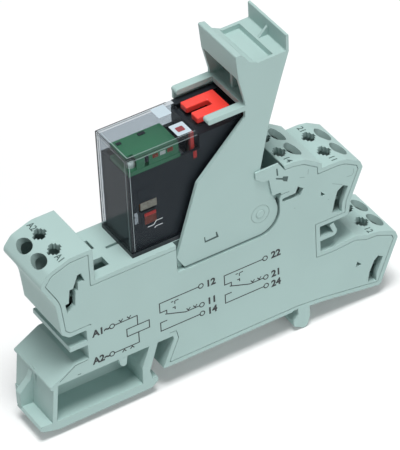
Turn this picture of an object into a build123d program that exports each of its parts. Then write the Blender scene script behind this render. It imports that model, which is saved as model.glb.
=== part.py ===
from build123d import *
import os

# Relay module for a 35 mm rail: housing, two covers, lever and plug-in relay.
# X runs along the module, -Y is the printed front, Z is up from the rail's top face.
# All values are in millimetres.

# Housing body
rim = 1.0
wall = 1.35
web = 1.0
cover_t = 1.2
part_gap = 0.12
skin_t = 0.45

# Housing contour, left to right
head_left = -41.9
head_right = -29.5
head_top = 38.6
recess_x = -32.2
recess_top = 18.8
recess_low = 11.2
shelf_top = 30.6
block_x = 9.5
block_top = 33.2
tier1_x = 15.6
tier1_top = 39.1
tier2_x = 24.6
tier2_top = 34.5
gap_x = 23.7
gap_top = 19.5
tier3_top = 12.8
tier3_right = 42.9

# Rail foot
rail_half = 17.5
rail_flange = 1.0
rail_gap = 0.25
foot_left = -44.7
foot_low = -3.84
foot_bar = 2.25
loop_top = 7.6
post_t = 1.05
hook_low = -5.6
hook_reach = 1.0
root_relief = 0.25

# Lever
pivot_x = 9.8
pivot_z = 29.0
pivot_r = 2.1
run_fit = 0.05
plate_t = 0.8
plate_gap = 0.15
pad_reach = 1.6
arm_reach = 1.1
lever_low = 23.75
lever_left = -10.25
head_floor = 65.8
head_peak = 70.9
arm_z = 56.5
arm_t = 1.2
arm_tip = -1.3
pad_x = 0.4
pad_z = 29.42
pad_r = 0.8

# Lever pocket in the covers
pocket_gap = 0.3
pan_t = 0.9
pan_gap = 0.1

# Terminals
pole_y = 2.9
fork_x = (-17.6, -2.6, 2.4, 7.4)
fork_top = 28.6
fork_w = 2.2
fork_h = 3.4
bar_t = 0.8
bar_w = 2.0
bar_fit = 0.12
bar_bend = 1.05
rib_t = 0.7
tongue_t = 0.7
tongue_w = 2.6
clamp_t = 0.3
clamp_w = 3.8
clamp_drop = 5.2
clamp_h = 4.4
funnel_len = 4.6
funnel_wide = 2.9
wire_d = 2.4
driver_w = 2.0

# Relay
relay_x0 = -19.8
relay_x1 = 9.2
relay_half = 6.05
relay_top = 55.3
shell_t = 0.6
shell_gap = 0.1
flange_t = 1.0
floor_t = 1.6
tub_t = 0.7
tub_top = 50.4
blade_t = 0.5
blade_w = 1.2
blade_len = 3.5
carrier_w = 2.6
contact_z = 45.5
contact_r = 1.2
contact_h = 0.8
contact_gap = 0.86
spring_t = 0.2
spring_top = 47.0
coil_x = -11.6
core_r = 2.4
bobbin_long = 10.6
bobbin_t = 1.0
bobbin_z0 = 33.3
bobbin_z1 = 47.6
yoke_t = 0.8
yoke_x = -5.2
yoke_half = 3.4
armature_t = 0.9
armature_reach = 10.6
armature_tilt = 0.0769
hinge_rise = 0.35
tail_gap = 0.1
card_fit = 0.06
card_z = 41.5
card_t = 1.0
flag_t = 0.8
button_x0 = -1.6
button_x1 = 6.1
button_half = 3.3
button_top = 56.2
button_t = 1.3
button_fit = 0.15
stem_len = 2.0
stem_half = 1.5

# Widths that follow from the relay between the lever's plates
plate_in = relay_half + plate_gap
lever_half = plate_in + plate_t
arm_in = plate_in - arm_reach
pad_in = plate_in - pad_reach
pan_out = plate_in - pan_gap
pan_in = pan_out - pan_t
skin_in = lever_half + run_fit
half = skin_in + skin_t
width = 2 * half
web_half = web / 2
seat = half - cover_t

# Other values that follow from the ones above
tub_out = relay_half - shell_t - shell_gap
tub_in = tub_out - tub_t
tub_x0 = relay_x0 + shell_t + shell_gap
tub_x1 = relay_x1 - shell_t - shell_gap
floor_z = shelf_top + floor_t
blade_z = shelf_top - blade_len
coil_bx, break_x, common_x, make_x = fork_x
stem_x1 = button_x1 - 0.5
stem_x0 = stem_x1 - stem_len
hinge_z = bobbin_z1 + hinge_rise
tail_x0 = yoke_x + tail_gap
card_x0 = tail_x0 + armature_t + card_fit
card_x1 = common_x - spring_t / 2 - card_fit


def outline(*corners, inset=0.0):
    """Closed face from (x, z, radius) corners, shrunk by the inset."""
    points = [Vector(x, z) for x, z, _ in corners]
    area = sum(a.X * b.Y - a.Y * b.X for a, b in zip(points, points[1:] + points[:1]))
    turn = 1 if area > 0 else -1
    moved = []
    radii = []
    for before, here, after, corner in zip(
        points[-1:] + points[:-1], points, points[1:] + points[:1], corners
    ):
        run_in = (here - before).normalized()
        run_out = (after - here).normalized()
        normal_in = Vector(-run_in.Y, run_in.X) * turn
        normal_out = Vector(-run_out.Y, run_out.X) * turn
        shift = (normal_in + normal_out) * (inset / (1 + normal_in.dot(normal_out)))
        moved.append(here + shift)
        convex = run_in.cross(run_out).Z * turn > 0
        radius = corner[2] - inset if convex else corner[2]
        radii.append(max(radius, min(corner[2], 0.2)))
    return make_face(FilletPolyline(*moved, radius=radii, close=True))


def rect(x0, x1, z0, z1):
    """Rectangular face between two corners."""
    return Pos((x0 + x1) / 2, (z0 + z1) / 2) * Rectangle(x1 - x0, z1 - z0)


def slab(face, y0, y1):
    """Side-view face made solid from y0 to y1."""
    return extrude(Plane.XZ.offset(-y1) * face, y1 - y0)


def both(face, y0, y1):
    """The same slab on the front and the back of the module."""
    return slab(face, y0, y1) + slab(face, -y1, -y0)


def plate(face, z0, z1):
    """Top-view face made solid from z0 to z1."""
    return extrude(Plane.XY.offset(z0) * face, z1 - z0)


def strip(points, bend, thick):
    """Side-view band of even thickness along bent runs."""
    return trace(FilletPolyline(*points, radius=bend), line_width=thick)


def band(points, bend, wide):
    """Side-view band with round ends."""
    path = FilletPolyline(*points, radius=bend)
    return make_face(path.offset_2d(wide / 2, side=Side.BOTH, kind=Kind.ARC))


def rod(x, z, r, y0, y1):
    """Round pin along Y."""
    return slab(Pos(x, z) * Circle(r), y0, y1)


def solid(shape):
    """One clean solid out of a boolean result."""
    parts = shape.solids()
    return max(parts, key=lambda s: s.volume)


# Housing contour


def body_contour(inset):
    slope = 0.6
    return outline(
        (head_right, shelf_top, 0.3),
        (head_right, head_top, 0.3),
        (head_right - 5.5, head_top, 4.0),
        (head_left + 2.2, head_top - 1.7, 2.0),
        (head_left, head_top - 4.4, 1.6),
        (head_left + 3.2, head_top - 10.4, 8.0),
        (head_left + 4.0, recess_top + 1.4, 0.6),
        (head_left + 5.6, recess_top, 0.8),
        (recess_x, recess_top, 0.3),
        (recess_x, loop_top, 0.2),
        (-rail_half + 5.0, loop_top, 0.3),
        (-rail_half + 5.2, loop_top - 1.0, 0.3),
        (-rail_half + 2.2, 0, 0.3),
        (rail_half + rail_gap, 0, 0.2),
        (rail_half + 6.2, -slope, 0.5),
        (tier3_right - 4.6, -2.95, 0.8),
        (tier3_right - 3.75, -0.9, 0.5),
        (tier3_right, tier3_top - 4.8, 0.8),
        (tier3_right - 0.6, tier3_top - 3.0, 0.8),
        (tier3_right - 4.9, tier3_top - 1.1, 1.5),
        (tier3_right - 7.7, tier3_top - 0.9, 1.0),
        (tier3_right - 10.4, tier3_top + 0.2, 1.0),
        (tier2_x + 2.0, tier3_top - 0.2, 1.0),
        (gap_x, tier3_top, 0.2),
        (gap_x, gap_top, 0.2),
        (tier2_x + 6.2, gap_top, 0.8),
        (tier2_x + 6.7, gap_top + 3.6, 1.5),
        (tier2_x + 9.9, gap_top + 11.0, 0.8),
        (tier2_x + 9.3, tier2_top - 2.3, 0.8),
        (tier2_x + 6.0, tier2_top - 0.4, 1.5),
        (tier2_x + 4.0, tier2_top, 1.0),
        (tier2_x, tier2_top, 0.3),
        (tier2_x, tier2_top + 1.3, 0.5),
        (tier1_x + 5.0, tier1_top - 0.6, 1.5),
        (tier1_x + 2.0, tier1_top, 1.0),
        (tier1_x, tier1_top, 0.3),
        (tier1_x, block_top, 0.3),
        (block_x, block_top, 0.5),
        (block_x, shelf_top, 0.3),
        inset=inset,
    )


contour = body_contour(0)
inner = body_contour(wall)
cover_seat = body_contour(rim)
cover_face = body_contour(rim + part_gap)


# Lever outline, shared by the lever and its pocket


def lever_profile():
    return outline(
        (lever_left + 1.7, lever_low, 0.8),
        (pivot_x + 4.15, lever_low, 4.8),
        (pivot_x + 4.15, pivot_z + 0.3, 1.0),
        (pivot_x + 3.7, pivot_z + 2.1, 1.0),
        (pivot_x + 2.95, pivot_z + 3.65, 0.2),
        (pivot_x + 2.5, pivot_z + 8.4, 0.4),
        (pivot_x + 0.4, pivot_z + 11.2, 0.5),
        (pivot_x + 3.1, pivot_z + 22.5, 8.0),
        (pivot_x + 6.1, pivot_z + 31.7, 8.0),
        (pivot_x + 8.2, head_floor + 1.0, 0.3),
        (pivot_x + 8.25, head_peak, 0.25),
        (pivot_x + 7.6, head_peak - 0.1, 0.2),
        (pivot_x + 7.6, head_floor + 1.2, 0.2),
        (pivot_x + 1.0, head_floor + 1.1, 0.3),
        (pivot_x - 1.0, head_floor + 2.1, 0.4),
        (pivot_x - 2.6, head_peak - 0.7, 0.5),
        (pivot_x - 4.15, head_peak - 0.4, 0.3),
        (pivot_x - 3.65, head_floor - 1.4, 0.5),
        (pivot_x - 2.4, arm_z + 2.1, 0.5),
        (pivot_x - 2.5, arm_z - 1.6, 0.3),
        (pivot_x - 14.3, pivot_z + 14.4, 1.2),
        (lever_left, lever_low + 3.0, 0.8),
    )


def pocket_profile(grow):
    """Space in which the lever's side plate swings, with a margin around it."""
    low = lever_low - pocket_gap
    right = pivot_x + 4.15 + pocket_gap
    left = lever_left - pocket_gap
    swing = tier1_x + 0.5
    return outline(
        (left, low, 0.3),
        (right, low, 5.0),
        (right, pivot_z + 2.1, 0.2),
        (right + 0.65, pivot_z + 3.8, 0.2),
        (swing, pivot_z + 3.8, 0.3),
        (swing, pivot_z + 7.6, 0.3),
        (tier1_x - 0.05, tier1_top + 0.1, 0.2),
        (tier1_x - 0.05, head_top + 8, 0.2),
        (left, head_top + 8, 0.2),
        inset=-grow,
    )


pocket = pocket_profile(0)


def pad_notch():
    """Opening that the ejector pad needs on its way up."""
    return rect(pad_x - pad_r - 0.5, pad_x + pad_r + 1.5, pad_z - pad_r - 0.4, shelf_top + 1)


def latch_skin(grow=0.0):
    """Thin finger of the cover that lies over the lever's edge."""
    edge = pivot_z + 3.8
    return outline(
        (tier1_x - 3.0, edge, 0.2),
        (tier1_x - 3.7, pivot_z + 8.1, 0.3),
        (tier1_x - 5.2, pivot_z + 8.3, 0.8),
        (tier1_x - 6.8, pivot_z + 9.6, 0.6),
        (tier1_x - 6.9, pivot_z + 11.3, 0.2),
        (tier1_x - 1.3, pivot_z + 11.3, 0.2),
        (tier1_x + 0.2, tier1_top - rim - part_gap, 0.2),
        (tier1_x + 1.9, tier1_top - rim - part_gap, 0.2),
        (tier1_x + 1.9, edge - 0.6, 0.2),
        (tier1_x - 1.0, edge - 0.6, 0.2),
        (tier1_x - 1.0, edge, 0.1),
        inset=-grow,
    )


# Terminals: name, side (front -1, back 1), clamp centre, top, direction, bar route


def bar_routes():
    """Clamp place and bar run of each of the four terminal pairs."""
    low = fork_top - fork_h
    return {
        "coil": (-36.0, 37.6, -1, coil_bx,
                 [(coil_bx, low + 0.7), (coil_bx, 22.5), (-34.2, 22.5),
                  (-34.2, 26.2), (-36.7, 26.2)]),
        "break": (37.0, 11.4, 1, break_x,
                  [(break_x, low + 0.7), (break_x, 18.3), (19.6, 18.3), (19.6, 3.2),
                   (29.5, 3.2), (33.0, 0.2), (37.6, 0.2)]),
        "common": (28.0, 34.0, 1, common_x,
                   [(common_x, low + 0.7), (common_x, 21.9), (28.7, 21.9)]),
        "make": (18.95, 38.6, 1, make_x,
                 [(make_x, low + 0.7), (make_x, 24.5), (19.65, 24.5)]),
    }


routes = bar_routes()
terminals = (
    ("a1", "coil", -1),
    ("a2", "coil", 1),
    ("12", "break", -1),
    ("22", "break", 1),
    ("11", "common", -1),
    ("21", "common", 1),
    ("14", "make", -1),
    ("24", "make", 1),
)


def bar_solid(kind, side):
    """Stamped bar: relay fork, flat run on edge and clamping tongue."""
    clamp_x, top, turn, x, route = routes[kind]
    y = side * pole_y
    run = slab(strip(route, bar_bend, bar_w), y - bar_t / 2, y + bar_t / 2)
    low = fork_top - fork_h
    fork = rect(x - fork_w / 2, x + fork_w / 2, low, fork_top)
    slot = rect(x - blade_t / 2 - 0.01, x + blade_t / 2 + 0.01, low + 0.8, fork_top + 1)
    fork = slab(fork - slot, y - bar_t / 2, y + bar_t / 2)
    near = clamp_x + turn * 0.35
    far = near + turn * tongue_t
    base = route[-1][1] - bar_w / 2
    face = rect(min(near, far), max(near, far), base, top - 4.0)
    tongue = slab(face, y - tongue_w / 2, y + tongue_w / 2)
    return solid(run + fork + tongue)


def clamp_solid(kind, side):
    """Bent clamp spring: leg on the tongue, bow, and top leg with a window."""
    clamp_x, top, turn, _, _ = routes[kind]
    y = side * pole_y
    leg = clamp_x + turn * (0.35 - clamp_t / 2)
    bow = clamp_x - turn * 1.75
    z1 = top - clamp_drop
    path = [(leg, z1 - 1.0), (leg, z1 - clamp_h), (bow, z1 - clamp_h), (bow, z1),
            (clamp_x + turn * 3.2, z1)]
    body = slab(strip(path, 0.8, clamp_t), y - clamp_w / 2, y + clamp_w / 2)
    near = clamp_x + turn * 0.2
    far = clamp_x + turn * 2.8
    window = rect(min(near, far), max(near, far), z1 - 1, z1 + 1)
    opening = slab(window, y - tongue_w / 2 - 0.1, y + tongue_w / 2 + 0.1)
    return solid(body - opening)


# Wire funnels and driver holes


def entry(x, z, tilt, side):
    """Oval funnel that narrows to the round wire duct."""
    y = side * pole_y
    place = Pos(x, y, z) * Rot(0, tilt, 0)
    top = place * Pos(0, 0, 0.9) * Ellipse(funnel_wide / 2 + 0.35, funnel_len / 2 + 0.35)
    neck = place * Pos(0, 0, -4.2) * Circle(wire_d / 2)
    funnel = Part() + loft([top.face(), neck.face()])
    duct = place * Pos(0, 0, -5.0) * Cylinder(wire_d / 2, 3.4)
    return funnel + duct


def driver_hole(x, z, side):
    """Star-shaped hole for the screwdriver that opens the clamp."""
    y = side * pole_y
    star = Rectangle(driver_w, driver_w + 0.4) + Rectangle(driver_w + 1.0, 1.0)
    star += Rectangle(1.0, driver_w + 1.4)
    return extrude(Pos(x, y, z - 4.0) * star, 8.0)


entries = (
    (-39.35, 37.2, -32, -35.6, 38.5),
    (20.6, 38.4, 30, 17.3, 39.1),
    (31.55, 33.6, 30, 28.1, 34.5),
    (40.2, 10.8, 30, 36.9, 12.0),
)


# Pieces


def base_housing():
    body = slab(contour, -half, half)
    # Chambers on both sides of the middle web
    body -= both(inner, web_half, seat)
    body -= both(cover_seat, seat, half + 1)
    # Ribs that guide the bars, then the channels and spring bays themselves
    guides = []
    cuts = []
    for clamp_x, top, turn, x, route in routes.values():
        guide = band(route, bar_bend, bar_w + 2 * (bar_fit + rib_t)) & inner
        guides.append(both(guide, web_half, pan_in - 0.05))
        channel = band(route, bar_bend, bar_w + 2 * bar_fit)
        bay = rect(x - fork_w / 2 - bar_fit, x + fork_w / 2 + bar_fit,
                   fork_top - fork_h - bar_fit, shelf_top - wall)
        cuts.append(both(channel + bay, pole_y - bar_t / 2, pan_in))
        near, far = clamp_x - turn * 2.1, clamp_x + turn * 3.35
        chamber = rect(min(near, far), max(near, far), top - clamp_drop - clamp_h - 0.35,
                       top - clamp_drop + 0.5)
        cuts.append(both(chamber & inner, pole_y - clamp_w / 2 - 0.1,
                         pole_y + clamp_w / 2 + 0.1))
        near, far = clamp_x + turn * 0.25, clamp_x + turn * 1.15
        well = rect(min(near, far), max(near, far), route[-1][1] - bar_w / 2 - bar_fit,
                    top - 3.9)
        cuts.append(both(well, pole_y - tongue_w / 2 - 0.1, pole_y + tongue_w / 2 + 0.1))
        slot = rect(x - 0.45, x + 0.45, blade_z - 0.4, shelf_top + 1)
        cuts.append(both(slot, pole_y - 0.8, pole_y + 0.8))
    # Pocket for the lever, pan and latch finger of the covers
    cuts.append(both(pocket, pan_out, half + 1))
    cuts.append(both(cover_seat & pocket_profile(pan_t + part_gap), pan_in, half + 1))
    cuts.append(both(latch_skin(part_gap), skin_in - run_fit, half + 1))
    cuts.append(both(pad_notch(), pad_in - plate_gap, half))
    cuts.append(shelf_slots())
    # Relief in the rail seat at the root of the hook
    relief = rect(rail_half - hook_reach - 0.15, rail_half + rail_gap, -1, root_relief)
    cuts.append(slab(relief, -half, half))
    # Wire funnels and driver holes
    for x, z, tilt, star_x, star_z in entries:
        for side in (-1, 1):
            cuts.append(entry(x, z, tilt, side))
            cuts.append(driver_hole(star_x, star_z, side))
    return solid((body + guides) - cuts + foot() + recess_rib())


def foot():
    """Rail foot: bar with its nose under the flange, end post, sprung arm, rear hook."""
    low = foot_low
    top = foot_low + foot_bar
    nose = -rail_half + 0.9
    left = head_left + 0.2
    bar = outline(
        (foot_left, low + 1.64, 0.3),
        (foot_left + 1.0, low + 0.9, 0.5),
        (left + 1.6, low, 1.0),
        (-rail_half - 0.8, low + 0.2, 0.6),
        (nose, -rail_flange - rail_gap - 1.2, 0.3),
        (nose, -rail_flange - rail_gap, 0.2),
        (-rail_half - rail_gap, -rail_flange - rail_gap, 0.1),
        (-rail_half - 0.9, top, 0.1),
        (left + 0.9, top, 0.2),
        (foot_left + 0.4, top + 0.2, 0.2),
    )
    post = outline(
        (left, low + 2.0, 0),
        (left + post_t, low + 2.0, 0),
        (left + 1.0 + post_t, loop_top + 0.4, 0),
        (left + 1.0, loop_top + 0.4, 0),
    )
    arm = outline(
        (-rail_half - 0.5, loop_top + 0.5, 0),
        (-rail_half - 1.2, 6.0, 1.5),
        (-rail_half - 2.6, 2.6, 1.5),
        (-rail_half - 2.7, top - 0.4, 0),
        (-rail_half - rail_gap, top - 0.4, 0),
        (-rail_half - 0.85, 1.0, 0.5),
        (-rail_half + 1.5, loop_top + 0.5, 0),
    )
    hook = outline(
        (rail_half + rail_gap, 0.5, 0),
        (rail_half + rail_gap, -1.4, 0.2),
        (rail_half - hook_reach, -2.8, 0.3),
        (rail_half - hook_reach + 0.1, -4.1, 0.4),
        (rail_half + 1.7, hook_low, 0.3),
        (rail_half + 2.5, -4.8, 0.3),
        (rail_half + 3.1, -3.1, 0.5),
        (rail_half + 3.1, 0.5, 0),
    )
    shape = slab(bar, -half, half) + slab(post, -half, half) + slab(arm, -half, half)
    shape += slab(hook, -half, half)
    backing = rect(left + 0.5, -rail_half - 1.0, top - 0.5, loop_top + 0.5)
    shape += slab(backing, -web_half, web_half)
    # The release tab at the left end is narrower than the foot
    shape -= slab(rect(foot_left - 1, left - 0.2, low - 1, top + 4), 2.0, half + 1)
    guard = outline(
        (foot_left + 0.1, top + 0.1, 0),
        (foot_left + 0.1, top + 3.6, 0.4),
        (left - 0.2, top + 6.2, 1.5),
        (left + 0.9, loop_top + 0.2, 0),
        (left + 0.9, top + 0.1, 0),
    )
    shape += slab(guard, 0.4, 2.0)
    # Sloping shoulder between the recess and the foot
    shoulder = outline(
        (recess_x + 0.6, recess_low, 0),
        (recess_x - 3.2, recess_low, 0.6),
        (head_left + 0.4, recess_low - 3.5, 0.4),
        (head_left + 0.6, loop_top - 0.9, 0.4),
        (head_left + 2.3, loop_top, 0.2),
        (recess_x + 0.6, loop_top, 0),
    )
    return shape + slab(shoulder, -half, half)


def shelf_slots():
    """Openings in the shelf beside the relay."""
    z0, z1 = shelf_top - wall - 0.2, shelf_top + 1
    cut = plate(rect(head_right + 0.05, head_right + 4.9, -4.85, -1.95), z0, z1)
    cut += plate(rect(head_right + 4.2, head_right + 5.0, 1.2, 4.2), z0, z1)
    cut += plate(rect(head_right + 7.0, relay_x0 + 2, -0.35, 0.35), shelf_top - 0.8, z1)
    return cut


def recess_rib():
    """Cross rib in the left recess and the bent rib in the right one."""
    left = rect(recess_x - 4.1, recess_x + 0.2, 14.85, 16.0)
    right = strip([(gap_x - 0.2, 16.2), (gap_x + 3.9, 16.2), (gap_x + 2.9, 18.9)], 0.6, 1.0)
    return slab(left, -half, half) + slab(right, -half, half)


def cover(side):
    """Side cover: flat plate, recessed pan with pivot pin, latch finger."""
    plain = cover_face - pocket
    body = slab(plain, seat, half)
    step = cover_face & (pocket_profile(pan_t) - pocket)
    body += slab(step, pan_in, half)
    body += slab(cover_face & pocket, pan_in, pan_out)
    body += slab(latch_skin(), skin_in, half)
    body += rod(pivot_x, pivot_z, pivot_r, pan_out, lever_half)
    body -= slab(pad_notch(), pan_in - 1, pan_out + 0.01)
    for cut in cover_cuts():
        body -= slab(cut, seat - 1, half + 1)
    body = solid(body)
    return mirror(body, Plane.XZ) if side < 0 else body


def cover_cuts():
    """Moulded openings in the flat of the cover."""
    zigzag = outline(
        (-32.5, 33.8, 0), (-31.8, 31.6, 0), (-33.3, 31.7, 0), (-33.4, 29.8, 0),
        (-34.0, 29.8, 0), (-34.3, 26.2, 0), (-36.2, 25.1, 0), (-36.5, 27.4, 0),
        (-35.7, 27.5, 0), (-35.3, 30.7, 0), (-34.5, 30.7, 0), (-33.3, 33.6, 0),
    )
    upper = outline(
        (29.6, 27.8, 0.1), (30.8, 27.1, 0.1), (29.3, 23.2, 3.0), (29.1, 20.9, 0.1),
        (26.8, 21.9, 0.1), (27.4, 24.4, 3.0), (28.2, 26.9, 0.1),
    )
    lower = outline(
        (37.9, 5.2, 0.1), (39.1, 4.4, 0.1), (37.4, 0.6, 3.0), (37.3, -1.4, 0.1),
        (35.2, -0.7, 0.1), (35.6, 1.6, 3.0), (36.8, 4.2, 0.1),
    )
    elbow = outline(
        (15.0, 30.1, 0), (19.2, 29.9, 0), (20.0, 31.4, 0), (18.7, 32.4, 0),
        (18.1, 31.0, 0), (14.9, 30.9, 0),
    )
    mark1 = outline((24.2, 28.5, 0), (25.2, 27.4, 0), (24.2, 27.3, 0))
    mark2 = outline((32.7, 5.9, 0), (33.7, 4.8, 0), (32.2, 4.6, 0))
    return (zigzag, upper, lower, elbow, mark1, mark2)


def lever():
    profile = lever_profile()
    body = both(profile, plate_in, lever_half)
    # Marker carrier across the top
    channel = outline(
        (pivot_x + 0.3, head_floor + 1.5, 0.2),
        (pivot_x + 1.15, head_floor, 0.2),
        (pivot_x + 4.75, head_floor, 0.1),
        (pivot_x + 4.95, head_floor + 1.15, 0.1),
        (pivot_x + 4.95, head_peak, 0),
        (pivot_x + 0.3, head_peak, 0),
    )
    cap = profile & rect(lever_left, pivot_x + 9, head_floor - 1.4, head_peak + 1)
    body += slab(cap, -lever_half, lever_half)
    body -= slab(channel, -plate_in, plate_in)
    # Wall along the right edge and floor between the arms
    shifted = Pos(-1.3, 0) * profile
    zone = rect(pivot_x, pivot_x + 9, pivot_z + 15.2, head_floor)
    body += slab((profile - shifted) & zone, -plate_in - 0.01, plate_in + 0.01)
    floor = rect(pivot_x - 2.6, pivot_x + 5.0, arm_z, arm_z + arm_t)
    body += slab(floor, -plate_in - 0.01, plate_in + 0.01)
    # Hold-down arms
    arm = outline(
        (arm_tip, arm_z, 0.5), (pivot_x, arm_z, 0), (pivot_x, arm_z + arm_t, 0),
        (arm_tip, arm_z + arm_t, 0.5),
    )
    body += both(arm, arm_in, lever_half)
    # Thin ribs at mid-width
    stay = outline(
        (pivot_x - 1.2, arm_z + 1.0, 0), (pivot_x + 5.3, arm_z + 1.0, 0),
        (pivot_x + 7.0, head_floor - 1.0, 0), (pivot_x - 1.2, head_floor - 1.0, 0),
    )
    body += slab(stay, -0.4, 0.4)
    gusset = outline(
        (pivot_x + 5.3, head_floor + 1.1, 0), (pivot_x + 7.7, head_floor + 1.1, 0),
        (pivot_x + 7.7, head_floor + 3.4, 0),
    )
    body += slab(gusset, -0.3, 0.3)
    # Ejector pads and pivot holes
    body += both(Pos(pad_x, pad_z) * Circle(pad_r), pad_in, plate_in + 0.1)
    body -= both(Pos(pivot_x, pivot_z) * Circle(pivot_r + run_fit), plate_in - 1, half)
    return solid(body)


def relay_base():
    """Bottom and side walls of the relay, with the slots of its blades."""
    body = plate(rect(relay_x0, relay_x1, -relay_half, relay_half), shelf_top,
                 shelf_top + flange_t)
    body += plate(rect(tub_x0, tub_x1, -tub_out, tub_out), shelf_top, tub_top)
    body -= plate(rect(tub_x0 + tub_t, tub_x1 - tub_t, -tub_in, tub_in), floor_z,
                  tub_top + 1)
    window = rect(coil_x - 5.6, coil_x - 1.8, 40.5, 46.0)
    body -= slab(window, -relay_half, -tub_in + 0.1)
    for x in fork_x:
        hole = rect(x - blade_t / 2, x + blade_t / 2, shelf_top - 1, floor_z + 1)
        body -= both(hole, pole_y - blade_w / 2, pole_y + blade_w / 2)
    return solid(body)


def relay_cover():
    """Clear cover, open below and over the test button."""
    z0 = shelf_top + flange_t
    outer = plate(fillet(rect(relay_x0, relay_x1, -relay_half, relay_half).vertices(), 0.5),
                  z0, relay_top)
    outer = fillet(outer.edges().group_by(Axis.Z)[-1], 0.3)
    inside = plate(rect(relay_x0 + shell_t, relay_x1 - shell_t, -relay_half + shell_t,
                        relay_half - shell_t), z0 - 1, relay_top - shell_t)
    hole = plate(rect(button_x0 - 0.7, button_x1 + 1.3, -button_half - 0.7,
                      button_half + 0.7), relay_top - 2, relay_top + 1)
    return solid(outer - inside - hole)


def contact_cap():
    """Black cap over the contact set, under the cover's opening."""
    x0 = button_x0 - 1.0
    top = relay_top - shell_t - 0.8
    body = plate(rect(x0, tub_x1, -tub_out, tub_out), tub_top, top)
    body -= plate(rect(x0 + tub_t, tub_x1 - tub_t, -tub_in, tub_in), tub_top - 1, top - 0.8)
    guide = rect(stem_x0 - button_fit, stem_x1 + button_fit, -stem_half - button_fit,
                 stem_half + button_fit)
    body -= plate(guide, tub_top, top + 1)
    return solid(body)


def test_button():
    """Red push piece: forked head and guide stem."""
    z0 = button_top - button_t
    head = rect(button_x0, button_x1, -button_half, button_half)
    head -= rect(button_x0 - 1, button_x0 + 5.0, -0.85, 0.85)
    head = fillet(head.vertices(), 0.3)
    body = plate(head, z0, button_top)
    body = fillet(body.edges().group_by(Axis.Z)[-1], 0.25)
    body += plate(rect(stem_x0, stem_x1, -stem_half, stem_half), tub_top + 1.0, z0 + 0.1)
    return solid(body)


def coil_parts():
    """Bobbin, winding, core and yoke of the coil."""
    deep = 2 * tub_in - 0.5
    flange = fillet(rect(coil_x - bobbin_long / 2, coil_x + bobbin_long / 2, -deep / 2,
                         deep / 2).vertices(), 1.0)
    bore = Pos(coil_x, 0) * Circle(core_r + 0.03)
    tube = Pos(coil_x, 0) * Circle(core_r + 0.7)
    bobbin = plate(flange, bobbin_z0, bobbin_z0 + bobbin_t)
    bobbin += plate(flange, bobbin_z1 - bobbin_t, bobbin_z1)
    bobbin += plate(tube, bobbin_z0, bobbin_z1)
    bobbin -= plate(bore, bobbin_z0 - 1, bobbin_z1 + 1)
    wound = offset(flange, -0.4)
    winding = plate(wound - tube, bobbin_z0 + bobbin_t, bobbin_z1 - bobbin_t)
    core = plate(Pos(coil_x, 0) * Circle(core_r), floor_z + 0.1, bobbin_z1)
    core += plate(Pos(coil_x, 0) * Circle(core_r + 1.1), bobbin_z1, bobbin_z1 + 0.5)
    bend = [(coil_x - core_r - 2.2, floor_z + 0.1 + yoke_t / 2), (yoke_x - yoke_t / 2,
            floor_z + 0.1 + yoke_t / 2), (yoke_x - yoke_t / 2, bobbin_z1 + 0.3)]
    yoke = slab(strip(bend, 0.8, yoke_t), -yoke_half, yoke_half)
    yoke -= plate(Pos(coil_x, 0) * Circle(core_r), floor_z, floor_z + 3)
    return solid(bobbin), solid(winding), solid(core), solid(yoke)


def armature():
    """Bent armature, drawn at rest with its plate lifted off the core."""
    tail_x = tail_x0 + armature_t / 2
    bend_z = hinge_z + armature_t / 2 + 0.2
    tip = (tail_x - armature_reach, bend_z + armature_reach * armature_tilt)
    path = [(tail_x, card_z - 0.9), (tail_x, bend_z), tip]
    return solid(slab(strip(path, 0.6, armature_t), -yoke_half + 0.2, yoke_half - 0.2))


def card():
    """Slider between the armature's tail and the moving springs."""
    face = rect(card_x0, card_x1, -0.8, 0.8)
    face += rect(card_x0, card_x0 + 1.4, -tub_in + 0.1, yoke_half - 0.2)
    face += rect(card_x1 - 0.7, card_x1, -pole_y - 1.2, pole_y + 1.2)
    return solid(plate(face, card_z - card_t / 2, card_z + card_t / 2))


def flag():
    """Red position flag on the end of the slider."""
    face = rect(card_x0, card_x0 + flag_t, card_z + card_t / 2, relay_top - shell_t - 0.3)
    return solid(slab(face, -tub_in + 0.1, -tub_in + 0.1 + flag_t))


def rivet(x0, x1, y):
    return Plane.YZ.offset(x0) * Pos(y, contact_z) * Circle(contact_r), x1 - x0


def contact_disc(x0, x1, y):
    """Round contact rivet along X."""
    face, height = rivet(x0, x1, y)
    return extrude(face, height)


def pole(side):
    """Moving spring, its blade, and the break and make contacts of one pole."""
    y = side * pole_y
    y0, y1 = y - blade_w / 2, y + blade_w / 2
    c0, c1 = y - carrier_w / 2, y + carrier_w / 2
    root = floor_z + 1.2
    common = slab(rect(common_x - blade_t / 2, common_x + blade_t / 2, blade_z, root), y0, y1)
    leaf = slab(rect(common_x - spring_t / 2, common_x + spring_t / 2, root + 0.02,
                     spring_top), c0, c1)
    front = common_x - spring_t / 2 - contact_h
    back = common_x + spring_t / 2 + contact_h
    leaf += contact_disc(front, back, y)
    rest_x = front - 0.02 - contact_h - 0.5 - blade_t / 2
    jog = floor_z + blade_t / 2
    rest = slab(strip([(break_x, blade_z), (break_x, jog), (rest_x, jog)], 0.3, blade_t),
                y0, y1)
    rest += slab(strip([(break_x + 0.9, jog), (rest_x, jog), (rest_x, contact_z + 1.2)], 0.3,
                       blade_t), c0, c1)
    rest += contact_disc(rest_x, front - 0.02, y)
    made_x = back + contact_gap + contact_h + 0.2 + blade_t / 2
    made = slab(strip([(make_x, blade_z), (make_x, jog), (made_x, jog)], 0.3, blade_t),
                y0, y1)
    made += slab(strip([(make_x - 0.9, jog), (made_x, jog), (made_x, contact_z + 1.2)], 0.3,
                       blade_t), c0, c1)
    made += contact_disc(back + contact_gap, made_x, y)
    return solid(common), solid(leaf), solid(rest), solid(made)


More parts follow.
